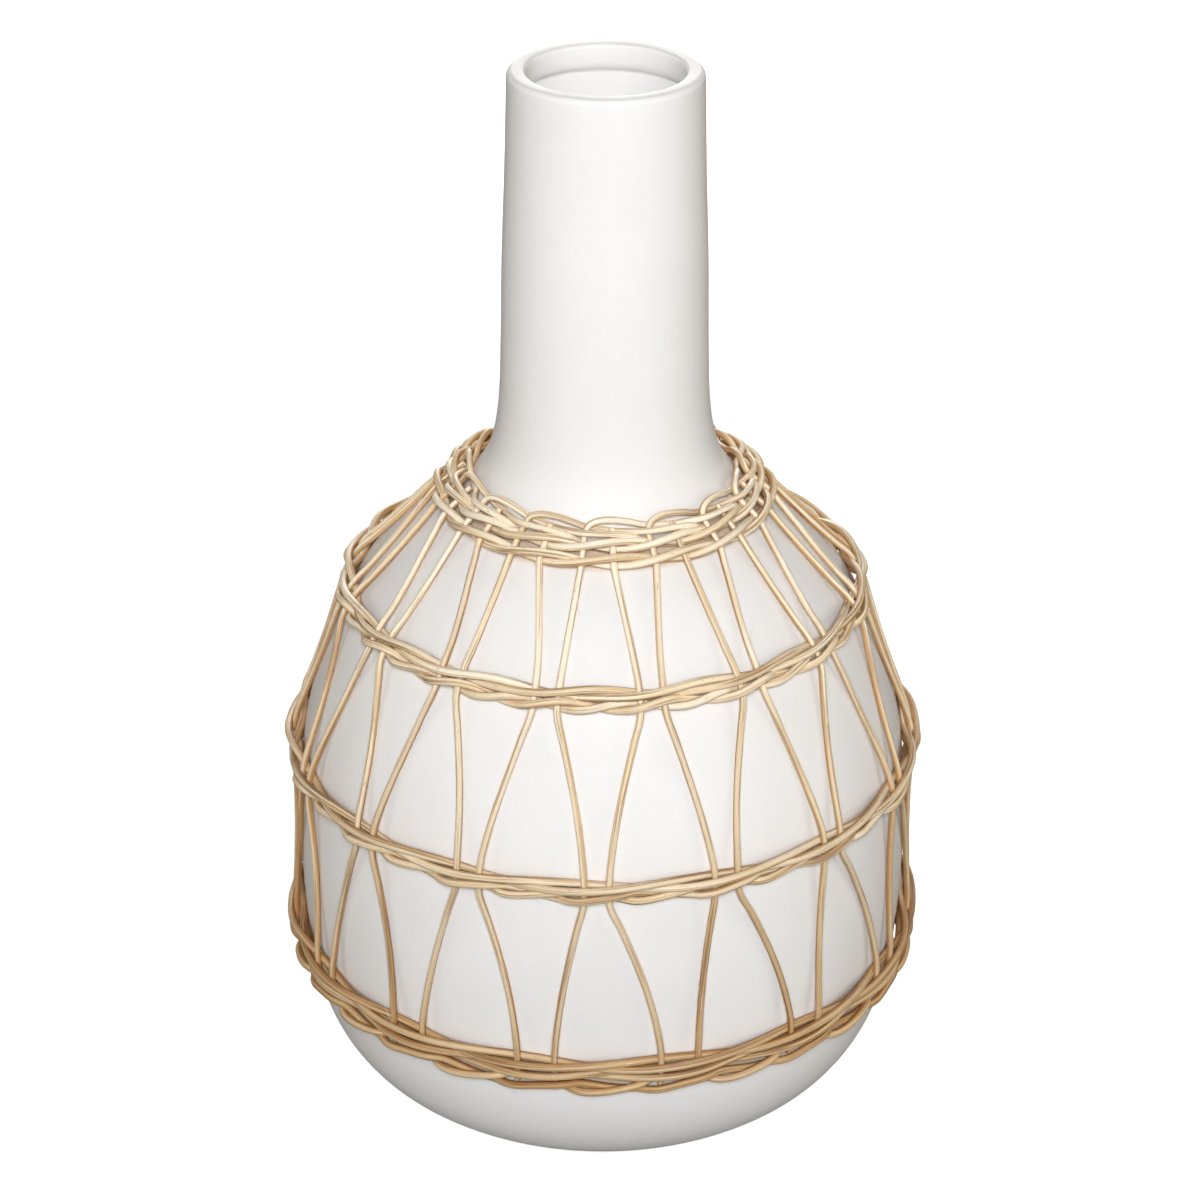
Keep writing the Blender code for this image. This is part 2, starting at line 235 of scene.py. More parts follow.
# Painted shade on the slip under and between the canes of each woven band: height, and reach of
# the full and of the faint shade.
BAND_PAINTED_SHADES = (
    (BASE_LEVEL - 0.0022, 0.0036, 0.0050),
    (LOWER_LEVEL - 0.0010, 0.0018, 0.0030),
    (UPPER_LEVEL - 0.0004, 0.0012, 0.0022),
    (COLLAR_LEVEL + 0.0022, 0.0022, 0.0037),
)

# Roundness of the canes, slow waves of their thickness, and their sawn ends.
CANE_ROUNDNESS = 4
THICKNESS_WAVES = (3, 7, 17)
THICKNESS_SWING = 0.016
END_THICKNESS = 0.90
SAWN_RIM = 0.25
SAWN_HOLLOW = 0.08
SHARP_ANGLE = math.radians(50.0)

# Each cane has its own tone from 0 to 1. A higher power leaves fewer brown ones.
WEAVER_TONES = 1.5
UPRIGHT_TONES = 2.2

# How strongly the dark fibre lines show.
WEAVER_GRAIN = 0.85
UPRIGHT_GRAIN = 0.7

# Loose fibres: their shape, and where they start, off and beside the middle of a cane.
FIBRE_SEED = 4
FIBRE_RADIUS = 0.00011
FIBRE_TIP = 0.2
FIBRE_LENGTHS = (0.004, 0.012)
FIBRE_CURLS = (0.15, 0.6)
FIBRE_STEPS = 8
FIBRE_MERGED = 0.000001
FIBRE_ROOT = 0.0009
FIBRE_ASIDE = 0.0005

# Tints that darken what is under them, ramps of such tints, and the other fixed colours.
WHITE = (1.0, 1.0, 1.0, 1.0)
SLIP_SPECKS = ((0.0, (0.93, 0.925, 0.91, 1.0)), (0.36, (0.985, 0.983, 0.98, 1.0)), (0.5, WHITE))
HAIRLINE = (0.47, 0.45, 0.42, 1.0)
# Painted shade that darkens the slip under the woven bands.
BAND_PAINTED_SHADE = (0.74, 0.59, 0.43, 1.0)
FIBRE_LINES = ((0.36, (0.32, 0.20, 0.10, 1.0)), (0.43, (0.86, 0.77, 0.64, 1.0)), (0.50, WHITE))
BROWN_CANE_TINT = (0.72, 0.57, 0.40, 1.0)
LOW_CANE_TINT = (0.68, 0.56, 0.41, 1.0)
# Painted shade on the side of a cane that faces the vase.
INNER_SIDE_PAINTED_SHADE = (0.62, 0.44, 0.27, 1.0)
FLOOR_CLOUD = (0.88, 0.88, 0.88, 1.0)
FLOOR_BOUNCE = (0.24, 0.235, 0.225, 1.0)

# The lamps: name, place, what it faces, width, watts, colour, and cone of a narrow one.
VASE_MIDDLE = (0.0, 0.0, 0.17)
NECK_FRONT = (0.0, -0.029, 0.290)
LAMPS = (
    ("front_lamp", (0.0, -2.5, 0.80), VASE_MIDDLE, 1.4, 7.0, WHITE[:3], None),
    ("high_lamp", (0.0, -1.95, 1.38), VASE_MIDDLE, 0.7, 41.2, WHITE[:3], None),
    ("neck_lamp", (0.0, -1.7, 1.05), NECK_FRONT, 0.06, 10.5, WHITE[:3], math.radians(6.5)),
    ("left_lamp", (-2.35, -0.3, 0.90), VASE_MIDDLE, 1.8, 10.5, (1.0, 0.86, 0.70), None),
    ("right_lamp", (2.3, -0.5, 0.90), VASE_MIDDLE, 1.8, 13.5, (1.0, 0.87, 0.72), None),
    ("back_lamp", (0.0, 2.3, 0.62), VASE_MIDDLE, 0.9, 36.0, (1.0, 0.96, 0.90), None),
)
SKY_STRENGTH = 0.02
FLOOR_SIDES = 96

# The camera that fits the photograph: its focal length and width in pixels, its place, and its
# dip and roll in radians.
PHOTO_FOCAL_PIXELS = 3185.4
PHOTO_PIXELS = 1200.0
SENSOR_WIDTH = 36.0
CAMERA_SHIFT = -0.0028
CAMERA_PLACE = (0.0, -0.858, 0.6093)
CAMERA_DIP = 0.4799
CAMERA_ROLL = 0.005
CAMERA_CLIP = (0.05, 50.0)

# Line of each cane by its node, for the loose fibres.
CANE_LINES = {}


class VaseSizes(PropertyGroup):
    height: FloatProperty(
        name="Height", description="Height of the vase over the lip",
        default=SOLID_HEIGHT, unit="LENGTH",
    )
    lip_radius: FloatProperty(
        name="Lip radius", description="Outside radius of the rounded lip",
        default=0.0280, unit="LENGTH",
    )
    mouth_radius: FloatProperty(
        name="Mouth radius", description="Radius of the opening",
        default=0.0226, unit="LENGTH",
    )
    bore_radius: FloatProperty(
        name="Bore radius", description="Radius just under the lip's inner band",
        default=0.0240, unit="LENGTH",
    )
    wall: FloatProperty(
        name="Wall", description="Thickness of the ceramic wall",
        default=0.0050, unit="LENGTH",
    )
    turn_steps: IntProperty(
        name="Turn steps", description="Faces round the vase", default=128, min=32,
    )
    upright_radius: FloatProperty(
        name="Upright radius", description="Radius of the upright canes",
        default=0.00098, unit="LENGTH",
    )
    weaver_radius: FloatProperty(
        name="Weaver radius", description="Radius of the canes that run round the vase",
        default=0.00118, unit="LENGTH",
    )
    cane_step: FloatProperty(
        name="Cane step", description="Distance between two rings of a cane",
        default=0.0011, unit="LENGTH",
    )
    fibre_count: IntProperty(
        name="Fibres", description="Number of loose fibres on the canes", default=46, min=0,
    )
    floor_radius: FloatProperty(
        name="Floor radius", description="Radius of the studio floor", default=9.0, unit="LENGTH",
    )


class VaseColours(PropertyGroup):
    clay: FloatVectorProperty(
        name="Clay", description="Matt slip on the vase", subtype="COLOR",
        size=4, default=(0.890, 0.892, 0.893, 1.0),
    )
    clay_shade: FloatVectorProperty(
        name="Clay shade", description="Duller patches of the slip", subtype="COLOR",
        size=4, default=(0.865, 0.866, 0.866, 1.0),
    )
    glaze: FloatVectorProperty(
        name="Glaze", description="White glaze inside the neck", subtype="COLOR",
        size=4, default=(0.945, 0.942, 0.934, 1.0),
    )
    bare_clay: FloatVectorProperty(
        name="Bare clay", description="Unglazed clay of the foot ring", subtype="COLOR",
        size=4, default=(0.62, 0.57, 0.50, 1.0),
    )
    pale_cane: FloatVectorProperty(
        name="Pale cane", description="Lightest fibres of the canes", subtype="COLOR",
        size=4, default=(0.990, 0.910, 0.740, 1.0),
    )
    straw_cane: FloatVectorProperty(
        name="Straw cane", description="Main colour of the canes", subtype="COLOR",
        size=4, default=(0.960, 0.830, 0.595, 1.0),
    )
    tan_cane: FloatVectorProperty(
        name="Tan cane", description="Darker fibres of the canes", subtype="COLOR",
        size=4, default=(0.74, 0.555, 0.33, 1.0),
    )
    brown_cane: FloatVectorProperty(
        name="Brown cane", description="Browner lengths and pores", subtype="COLOR",
        size=4, default=(0.36, 0.22, 0.11, 1.0),
    )
    floor: FloatVectorProperty(
        name="Floor", description="Studio floor", subtype="COLOR",
        size=4, default=(0.86, 0.86, 0.86, 1.0),
    )


# Smooth curve through the outline points, as many steps as asked between each two.
def smooth_outline(points, steps):
    ends = [points[0]] + list(points) + [points[-1]]
    line = []
    for index in range(len(points) - 1):
        a, b, c, d = (numpy.array(ends[index + offset]) for offset in range(4))
        for step in range(steps):
            t = step / steps
            line.append(
                0.5 * (
                    2.0 * b
                    + (c - a) * t
                    + (2.0 * a - 5.0 * b + 4.0 * c - d) * t ** 2
                    + (3.0 * b - a - 3.0 * c + d) * t ** 3
                )
            )
    line.append(numpy.array(points[-1]))
    return numpy.array(line)


# The outside of the vase as a line that can be followed by distance.
SURFACE = smooth_outline(OUTSIDE_OUTLINE, OUTLINE_STEPS)
SURFACE_STEPS = numpy.linalg.norm(numpy.diff(SURFACE, axis=0), axis=1)
SURFACE_LENGTH = numpy.concatenate([[0.0], numpy.cumsum(SURFACE_STEPS)])


def surface_point(along):
    radius = numpy.interp(along, SURFACE_LENGTH, SURFACE[:, 0])
    height = numpy.interp(along, SURFACE_LENGTH, SURFACE[:, 1])
    return float(radius), float(height)


# Outward and upward share of the direction straight off the vase.
def surface_normal(along):
    low = surface_point(along - SLOPE_REACH)
    high = surface_point(along + SLOPE_REACH)
    across = high[0] - low[0]
    up = high[1] - low[1]
    size = math.hypot(across, up)
    return up / size, -across / size


# How far along the outside a height lies.
def level_distance(height):
    return float(numpy.interp(height, SURFACE[:, 1], SURFACE_LENGTH))


BASE_LINE = level_distance(BASE_LEVEL)
LOWER_LINE = level_distance(LOWER_LEVEL)
UPPER_LINE = level_distance(UPPER_LEVEL)
COLLAR_LINE = level_distance(COLLAR_LEVEL)


# A point of the cage: angle round the vase in degrees, distance up its side, height off it.
def cage_point(angle, along, off):
    radius, height = surface_point(along)
    out, up = surface_normal(along)
    turn = math.radians(angle)
    reach = radius + off * out
    return numpy.array([reach * math.sin(turn), -reach * math.cos(turn), height + off * up])


# Where a pair that would stand at an even angle really stands at its level.
def drifted(angle, drift):
    turn, crowding = drift
    return angle + turn + crowding * math.sin(math.radians(angle))


def half_pair_angle(half_width, line):
    return math.degrees(half_width / (surface_point(line)[0] + STAKE_HEIGHT))


# Shader building: one node, its settings, and the links into it.
class Shader:
    def __init__(self, name):
        self.material = bpy.data.materials.new(name)
        self.material.use_nodes = True
        self.tree = self.material.node_tree
        self.surface = self.tree.nodes["Principled BSDF"]
        self.row = 0

    def add(self, kind, links=None, values=None, **settings):
        made = self.tree.nodes.new(kind)
        self.row += 1
        made.location = (-260.0 * (1 + self.row // 4), 300.0 - 220.0 * (self.row % 4))
        for name, value in settings.items():
            setattr(made, name, value)
        for name, value in (values or {}).items():
            made.inputs[name].default_value = value
        for name, socket in (links or {}).items():
            self.tree.links.new(socket, made.inputs[name])
        return made

    def place(self):
        return self.add("ShaderNodeTexCoord").outputs["Object"]

    def attribute(self, name, output):
        return self.add("ShaderNodeAttribute", attribute_name=name).outputs[output]

    def height(self, place):
        return self.add("ShaderNodeSeparateXYZ", {"Vector": place}).outputs["Z"]

    def noise(self, vector, scale, detail, roughness=0.5):
        values = {"Scale": scale, "Detail": detail, "Roughness": roughness}
        return self.add("ShaderNodeTexNoise", {"Vector": vector}, values).outputs["Fac"]

    def stretched(self, vector, scale, shift):
        links = {"Vector": vector, "Location": shift}
        return self.add("ShaderNodeMapping", links, {"Scale": scale}).outputs["Vector"]

    def spread(self, value, low, high, to_low=0.0, to_high=1.0):
        values = {"From Min": low, "From Max": high, "To Min": to_low, "To Max": to_high}
        return self.add("ShaderNodeMapRange", {"Value": value}, values).outputs["Result"]

    def sum(self, operation, links, values=None):
        return self.add("ShaderNodeMath", links, values, operation=operation).outputs["Value"]

    def times(self, one, other):
        return self.sum("MULTIPLY", {0: one, 1: other})

    def plus(self, one, other):
        return self.sum("ADD", {0: one, 1: other})

    def away_from(self, value, middle):
        return self.sum("ABSOLUTE", {0: self.sum("SUBTRACT", {0: value}, {1: middle})})

    def mixed(self, factor, one, other, blend="MIX"):
        made = self.add("ShaderNodeMixRGB", blend_type=blend)
        for name, value in (("Fac", factor), ("Color1", one), ("Color2", other)):
            if hasattr(value, "is_output"):
                self.tree.links.new(value, made.inputs[name])
            else:
                made.inputs[name].default_value = value
        return made.outputs["Color"]

    def ramp(self, value, stops):
        made = self.add("ShaderNodeValToRGB", {"Fac": value})
        ramp = made.color_ramp
        while len(ramp.elements) < len(stops):
            ramp.elements.new(0.5)
        for element, (place, colour) in zip(ramp.elements, stops):
            element.position = place
            element.color = colour
        return made.outputs["Color"]

    def bump(self, height, distance, strength, under=None):
        links = {"Height": height}
        if under is not None:
            links["Normal"] = under
        values = {"Distance": distance, "Strength": strength}
        return self.add("ShaderNodeBump", links, values).outputs["Normal"]

    def finish(self, colour, roughness, normal):
        self.tree.links.new(colour, self.surface.inputs["Base Color"])
        self.tree.links.new(roughness, self.surface.inputs["Roughness"])
        self.tree.links.new(normal, self.surface.inputs["Normal"])
        return self.material


# Matt slip: soft mottling, fine tooth, a few faint hairlines, painted shade under each woven
# band, bare clay under the foot.
def clay_finish(colours):
    shader = Shader("matt_clay_slip")
    place = shader.place()
    mottle = shader.noise(place, 21.0, 5.0, 0.55)
    grain = shader.noise(place, 620.0, 3.0, 0.6)
    tooth = shader.noise(place, 2300.0, 2.0, 0.5)
    colour = shader.mixed(
        shader.spread(mottle, 0.38, 0.66), tuple(colours.clay), tuple(colours.clay_shade)
    )
    colour = shader.mixed(0.6, colour, shader.ramp(grain, SLIP_SPECKS), "MULTIPLY")

    wander = shader.noise(place, 90.0, 2.0, 0.5)
    hairline = shader.spread(shader.away_from(wander, 0.5), 0.0, 0.006, 1.0, 0.0)
    sparse = shader.spread(shader.noise(place, 34.0, 1.0), 0.70, 0.74)
    scuffs = shader.times(hairline, sparse)
    faint = shader.times(scuffs, shader.spread(tooth, 0.35, 0.6, 0.06, 0.24))
    colour = shader.mixed(faint, colour, HAIRLINE)

    height = shader.height(place)
    # Painted shade under each woven band, patchy with the grain of the slip.
    for level, full, end in BAND_PAINTED_SHADES:
        near = shader.spread(shader.away_from(height, level), full, end, 1.0, 0.0)
        band_shade = shader.times(near, shader.spread(grain, 0.2, 0.55, 0.7, 1.0))
        colour = shader.mixed(band_shade, colour, BAND_PAINTED_SHADE, "MULTIPLY")
    low = shader.spread(height, 0.0005, 0.0017, 1.0, 0.0)
    rubbed = shader.times(low, shader.spread(grain, 0.2, 0.5, 0.6, 1.0))
    colour = shader.mixed(rubbed, colour, tuple(colours.bare_clay))

    roughness = shader.plus(
        shader.spread(mottle, 0.3, 0.7, 0.50, 0.60), shader.spread(low, 0.0, 1.0, 0.0, 0.28)
    )
    normal = shader.bump(tooth, 0.00002, 0.35)
    normal = shader.bump(grain, 0.00006, 0.35, normal)
    normal = shader.bump(mottle, 0.0006, 0.25, normal)
    normal = shader.bump(scuffs, 0.00003, 0.4, normal)
    shader.surface.inputs["Specular IOR Level"].default_value = 0.25
    return shader.finish(colour, roughness, normal)


# White glaze inside the vase: smoother, with a slow drift of its thickness and fine pinholes.
def glaze_finish(colours):
    shader = Shader("white_inner_glaze")
    place = shader.place()
    drift = shader.noise(place, 46.0, 3.0)
    pinhole = shader.noise(place, 1500.0, 1.0)
    colour = shader.mixed(
        shader.spread(drift, 0.35, 0.7, 0.0, 0.5), tuple(colours.glaze), tuple(colours.clay)
    )
    holes = shader.spread(pinhole, 0.74, 0.80)
    colour = shader.mixed(
        shader.times(holes, shader.spread(drift, 0.4, 0.6, 0.2, 0.5)), colour,
        tuple(colours.bare_clay),
    )
    normal = shader.bump(pinhole, 0.00002, 0.2)
    normal = shader.bump(drift, 0.0004, 0.3, normal)
    return shader.finish(colour, shader.spread(drift, 0.3, 0.7, 0.30, 0.42), normal)


# Bent cane: fibres along its length, browner lengths, fine pores, painted shade on the side
# against the vase; each cane has its own tone, and the whole cage is browner towards the base.
def cane_finish(name, colours, depth):
    shader = Shader(name)
    place = shader.attribute("cane_place", "Vector")
    tone = shader.attribute("cane_tone", "Fac")
    own = shader.add("ShaderNodeCombineXYZ", {"X": tone, "Z": tone}).outputs["Vector"]
    own = shader.add(
        "ShaderNodeVectorMath", {0: own}, {"Scale": 31.0}, operation="SCALE"
    ).outputs["Vector"]
    fibre = shader.noise(shader.stretched(place, (1350.0, 1350.0, 26.0), own), 1.0, 2.0, 0.6)
    streak = shader.noise(shader.stretched(place, (760.0, 760.0, 17.0), own), 1.0, 2.0, 0.5)
    length = shader.noise(shader.stretched(place, (170.0, 170.0, 19.0), own), 1.0, 2.0, 0.5)
    pore = shader.noise(shader.stretched(place, (3200.0, 3200.0, 420.0), own), 1.0, 1.0, 0.5)

    colour = shader.ramp(
        streak,
        (
            (0.31, tuple(colours.tan_cane)),
            (0.41, tuple(colours.straw_cane)),
            (0.52, tuple(colours.pale_cane)),
        ),
    )
    colour = shader.mixed(depth, colour, shader.ramp(fibre, FIBRE_LINES), "MULTIPLY")
    colour = shader.mixed(
        shader.spread(length, 0.50, 0.72, 0.0, 0.6), colour, tuple(colours.tan_cane)
    )
    height = shader.height(shader.place())
    own_brown = shader.times(
        shader.spread(tone, 0.25, 1.0, 0.0, 1.0), shader.spread(height, 0.06, 0.17, 1.0, 0.5)
    )
    colour = shader.mixed(own_brown, colour, BROWN_CANE_TINT, "MULTIPLY")
    low = shader.spread(height, 0.052, 0.178, 1.0, 0.0)
    colour = shader.mixed(low, colour, LOW_CANE_TINT, "MULTIPLY")
    # Painted shade: the side of each cane that faces the vase is darkened, unevenly with the
    # streaks.
    side = shader.attribute("cane_side", "Fac")
    uneven = shader.plus(side, shader.spread(streak, 0.3, 0.7, -0.18, 0.18))
    inner = shader.spread(uneven, -0.1, 0.68, 1.0, 0.0)
    colour = shader.mixed(inner, colour, INNER_SIDE_PAINTED_SHADE, "MULTIPLY")
    colour = shader.mixed(
        shader.spread(pore, 0.69, 0.75, 0.0, 0.7), colour, tuple(colours.brown_cane)
    )
    roughness = shader.spread(streak, 0.3, 0.7, 0.62, 0.46)
    normal = shader.bump(fibre, 0.00020, 0.8)
    normal = shader.bump(streak, 0.00030, 0.7, normal)
    return shader.finish(colour, roughness, normal)


# Sawn end of a cane: pale, with the open tubes of its fibres.
def cut_end_finish(colours):
    shader = Shader("sawn_cane_end")
    tubes = shader.add(
        "ShaderNodeTexVoronoi", {"Vector": shader.place()}, {"Scale": 5200.0}
    ).outputs["Distance"]
    colour = shader.ramp(
        tubes,
        (
            (0.12, tuple(colours.brown_cane)),
            (0.34, tuple(colours.straw_cane)),
            (0.7, tuple(colours.pale_cane)),
        ),
    )
    normal = shader.bump(tubes, 0.00008, 0.6)
    return shader.finish(colour, shader.spread(tubes, 0.0, 0.8, 0.85, 0.65), normal)


# Torn fibre hairs: straw with paler stretches.
def fibre_finish(colours):
    shader = Shader("loose_cane_fibre")
    drift = shader.noise(shader.place(), 480.0, 2.0)
    colour = shader.mixed(drift, tuple(colours.straw_cane), tuple(colours.pale_cane))
    normal = shader.bump(drift, 0.00003, 0.3)
    return shader.finish(colour, shader.spread(drift, 0.3, 0.7, 0.5, 0.7), normal)


# White floor: it keeps the shadow for the camera, and throws little light up at the vase. Its
# glow for the camera grows with the distance, as far out the lamps no longer reach it.
def floor_finish(colours):
    shader = Shader("studio_floor")
    place = shader.place()
    cloud = shader.noise(place, 3.0, 3.0)
    seen = shader.add("ShaderNodeLightPath").outputs["Is Camera Ray"]
    colour = shader.mixed(cloud, tuple(colours.floor), FLOOR_CLOUD)
    colour = shader.mixed(seen, FLOOR_BOUNCE, colour)
    material = shader.finish(
        colour, shader.spread(cloud, 0.3, 0.7, 0.9, 0.97), shader.bump(cloud, 0.0002, 0.1)
    )
    shader.surface.inputs["Specular IOR Level"].default_value = 0.0
    reach = shader.add("ShaderNodeVectorMath", {0: place}, operation="LENGTH").outputs["Value"]
    glowing = shader.times(seen, shader.spread(reach, 0.3, 1.6, 0.60, 1.0))
    glow = shader.add("ShaderNodeEmission", {"Strength": glowing}, {"Color": WHITE})
    lit = {0: shader.surface.outputs["BSDF"], 1: glow.outputs["Emission"]}
    both = shader.add("ShaderNodeAddShader", lit).outputs["Shader"]
    shader.tree.links.new(both, shader.tree.nodes["Material Output"].inputs["Surface"])
    return material


# A piece takes the place of one node of the frame, or stands beside them all.
def place_piece(name, mesh, materials, node=None):
    for material in materials:
        mesh.materials.append(material)
    piece = bpy.data.objects.new(name, mesh)
    bpy.context.scene.collection.objects.link(piece)
    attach(piece, "root")
    if node is not None:
        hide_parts(node)


# The profile of the casting from the middle of the foot over the lip to the middle of the floor.
def casting_profile(sizes):
    profile = [
        (0.0, FOOT_RECESS),
        (FOOT_INNER_RADIUS - 2.0 * FOOT_RECESS, FOOT_RECESS),
        (FOOT_INNER_RADIUS - FOOT_RECESS, 0.8 * FOOT_RECESS),
    ]
    profile += [(FOOT_INNER_RADIUS + past, height) for past, height in FOOT_INNER_EDGE]
    profile += [(FOOT_OUTER_RADIUS + past, height) for past, height in FOOT_OUTER_EDGE]
    for along in numpy.arange(0.0, SURFACE_LENGTH[-1], PROFILE_STEP):
        profile.append(surface_point(along))
    profile.append(surface_point(SURFACE_LENGTH[-1]))
    start, top, end = LIP_ANGLES
    for middle, rounding, first, last in (
        (sizes.lip_radius - LIP_OUTER_ROUND, LIP_OUTER_ROUND, start, top),
        (sizes.mouth_radius + LIP_INNER_ROUND, LIP_INNER_ROUND, top, end),
    ):
        for angle in numpy.linspace(first, last, LIP_STEPS):
            turn = math.radians(angle)
            radius = middle + rounding * math.cos(turn)
            profile.append((radius, sizes.height - rounding + rounding * math.sin(turn)))
    step = sizes.height - LIP_DEPTH
    profile += [(sizes.mouth_radius + past, step + rise) for past, rise in MOUTH_STEP]
    profile += [(sizes.bore_radius, step - depth) for depth in BORE_DEPTHS]
    start = level_distance(sizes.height - HOLLOW_TOP_DEPTH)
    end = level_distance(HOLLOW_BOTTOM)
    for along in numpy.linspace(start, end, HOLLOW_RINGS):
        radius, height = surface_point(along)
        out, up = surface_normal(along)
        profile.append((radius - sizes.wall * out, height - sizes.wall * up))
    for share in numpy.linspace(0.0, 1.0, FLOOR_CORNER_STEPS)[1:]:
        turn = share * math.pi / 2.0
        radius = FLOOR_FLAT_RADIUS + FLOOR_CORNER_REACH * math.cos(turn)
        profile.append((radius, FLOOR_THICKNESS + FLOOR_CORNER_RISE * (1.0 - math.sin(turn))))
    profile.append((0.0, FLOOR_THICKNESS))
    return profile


# Which faces of the casting lie in its hollow, below the inner edge of the lip.
def hollow_faces(mesh, sizes):
    found = []
    for face in mesh.polygons:
        middle = face.center
        reach = math.hypot(middle.x, middle.y)
        radius = surface_point(level_distance(middle.z))[0]
        hollow = middle.z < sizes.height - LIP_DEPTH and reach < radius - 0.6 * sizes.wall
        found.append(hollow and middle.z > 0.5 * FLOOR_THICKNESS)
    return found


# A cane's points joined by a smooth line, with rings at an even distance.
def smooth_cane_line(points, closed, spacing):
    points = [numpy.array(point) for point in points]
    count = len(points)
    line = []
    for index in range(count if closed else count - 1):
        if closed:
            a, b, c, d = (points[(index + offset) % count] for offset in (-1, 0, 1, 2))
        else:
            b, c = points[index], points[index + 1]
            a = points[index - 1] if index > 0 else 2.0 * b - c
            d = points[index + 2] if index + 2 < count else 2.0 * c - b
        stops = [0.0]
        for start, end in ((a, b), (b, c), (c, d)):
            stops.append(stops[-1] + math.sqrt(float(numpy.linalg.norm(end - start))))
        steps = max(1, int(round(float(numpy.linalg.norm(c - b)) / spacing)))
        for step in range(steps):
            t = stops[1] + (stops[2] - stops[1]) * step / steps
            one = a + (b - a) * (t - stops[0]) / (stops[1] - stops[0])
            two = b + (c - b) * (t - stops[1]) / (stops[2] - stops[1])
            three = c + (d - c) * (t - stops[2]) / (stops[3] - stops[2])
            left = one + (two - one) * (t - stops[0]) / (stops[2] - stops[0])
            right = two + (three - two) * (t - stops[1]) / (stops[3] - stops[1])
            line.append(left + (right - left) * (t - stops[1]) / (stops[2] - stops[1]))
    if not closed:
        line.append(points[-1])
    return numpy.array(line)


# Slow changes of a cane's thickness, as a grown cane has.
def cane_thickness(line, source, closed):
    share = numpy.arange(len(line)) / len(line)
    thickness = numpy.ones(len(line))
    for waves in THICKNESS_WAVES:
        phase = source.uniform(0.0, 2.0 * math.pi)
        thickness += THICKNESS_SWING * numpy.sin(2.0 * math.pi * waves * share + phase)
    if not closed:
        thickness[0] *= END_THICKNESS
        thickness[-1] *= END_THICKNESS
    return thickness


# A curve that is swept to a round mesh of its own thickness.
def new_curve(name, radius, roundness):
    curve = bpy.data.curves.new(name, "CURVE")
    curve.dimensions = "3D"
    curve.bevel_depth = radius
    curve.bevel_resolution = roundness
    return curve


def add_spline(curve, line, thickness):
    spline = curve.splines.new("POLY")
    spline.points.add(len(line) - 1)
    for point, place, thick in zip(spline.points, line, thickness):
        point.co = (place[0], place[1], place[2], 1.0)
        point.radius = thick
    return spline


def swept_mesh(curve):
    holder = bpy.data.objects.new(curve.name, curve)
    bpy.context.scene.collection.objects.link(holder)
    swept = holder.evaluated_get(bpy.context.evaluated_depsgraph_get())
    mesh = bpy.data.meshes.new_from_object(swept)
    bpy.data.objects.remove(holder)
    bpy.data.curves.remove(curve)
    return mesh


# Turns the faces of a closed mesh outwards, after corners nearer than this are merged.
def turn_outwards(mesh, merged=0.0):
    shape = bmesh.new()
    shape.from_mesh(mesh)
    if merged > 0.0:
        bmesh.ops.remove_doubles(shape, verts=shape.verts, dist=merged)
    bmesh.ops.recalc_face_normals(shape, faces=shape.faces)
    shape.to_mesh(mesh)
    shape.free()
    mesh.shade_smooth()


def add_layer(mesh, name, kind, values):
    layer = mesh.attributes.new(name, kind, "POINT")
    field = "vector" if kind == "FLOAT_VECTOR" else "value"
    layer.data.foreach_set(field, values.astype(numpy.float32).ravel())


# A round cane swept along its line, with its own unrolled place kept for the fibres.
def cane_piece(node, points, radius, closed, tone, materials, spacing):
    line = smooth_cane_line(points, closed, spacing)
    CANE_LINES[node] = line
    curve = new_curve(node + "_line", radius, CANE_ROUNDNESS)
    spline = add_spline(curve, line, cane_thickness(line, random.Random(node), closed))
    spline.use_cyclic_u = closed
    mesh = swept_mesh(curve)
    sides = len(mesh.vertices) // len(line)
    if sides * len(line) != len(mesh.vertices):
        raise RuntimeError("the rings of " + node + " don't match its line")
    steps = numpy.linalg.norm(numpy.diff(line, axis=0), axis=1)
    distance = numpy.concatenate([[0.0], numpy.cumsum(steps)])
    turn = 2.0 * math.pi * numpy.arange(sides) / sides
    unrolled = numpy.empty((len(line), sides, 3))
    unrolled[:, :, 0] = radius * numpy.cos(turn)[None, :]
    unrolled[:, :, 1] = radius * numpy.sin(turn)[None, :]
    unrolled[:, :, 2] = distance[:, None]
    add_layer(mesh, "cane_place", "FLOAT_VECTOR", unrolled)
    # How far each point faces the vase, for the painted shade of that side.
    add_layer(mesh, "cane_side", "FLOAT", cane_sides(mesh, line, sides))
    add_layer(mesh, "cane_tone", "FLOAT", numpy.full(len(mesh.vertices), tone))
    if not closed:
        cut_ends(mesh, radius)
    turn_outwards(mesh)
    if not closed:
        mesh.set_sharp_from_angle(angle=SHARP_ANGLE)
    place_piece("bent_" + node, mesh, materials, node)


# How far each point of a swept cane faces away from the vase: 1 outside, -1 against the vase.
# The painted shade of a cane's side against the vase follows it.
def cane_sides(mesh, line, sides):
    places = numpy.empty(3 * len(mesh.vertices), numpy.float32)
    mesh.vertices.foreach_get("co", places)
    reach = places.reshape(len(line), sides, 3) - line[:, None, :]
    reach /= numpy.linalg.norm(reach, axis=2)[:, :, None]
    away = []
    for x, y, height in line:
        out, up = surface_normal(level_distance(height))
        size = math.hypot(x, y)
        away.append((out * x / size, out * y / size, up))
    return (reach * numpy.array(away)[:, None, :]).sum(axis=2)


# Closes both ends of a cane with a slightly hollow sawn face.
def cut_ends(mesh, radius):
    shape = bmesh.new()
    shape.from_mesh(mesh)
    rims = [edge for edge in shape.edges if edge.is_boundary]
    ends = bmesh.ops.holes_fill(shape, edges=rims, sides=0)["faces"]
    bmesh.ops.recalc_face_normals(shape, faces=shape.faces)
    for face in ends:
        face.material_index = 1
    bmesh.ops.inset_region(
        shape, faces=ends, thickness=SAWN_RIM * radius, depth=-SAWN_HOLLOW * radius
    )
    shape.to_mesh(mesh)
    shape.free()


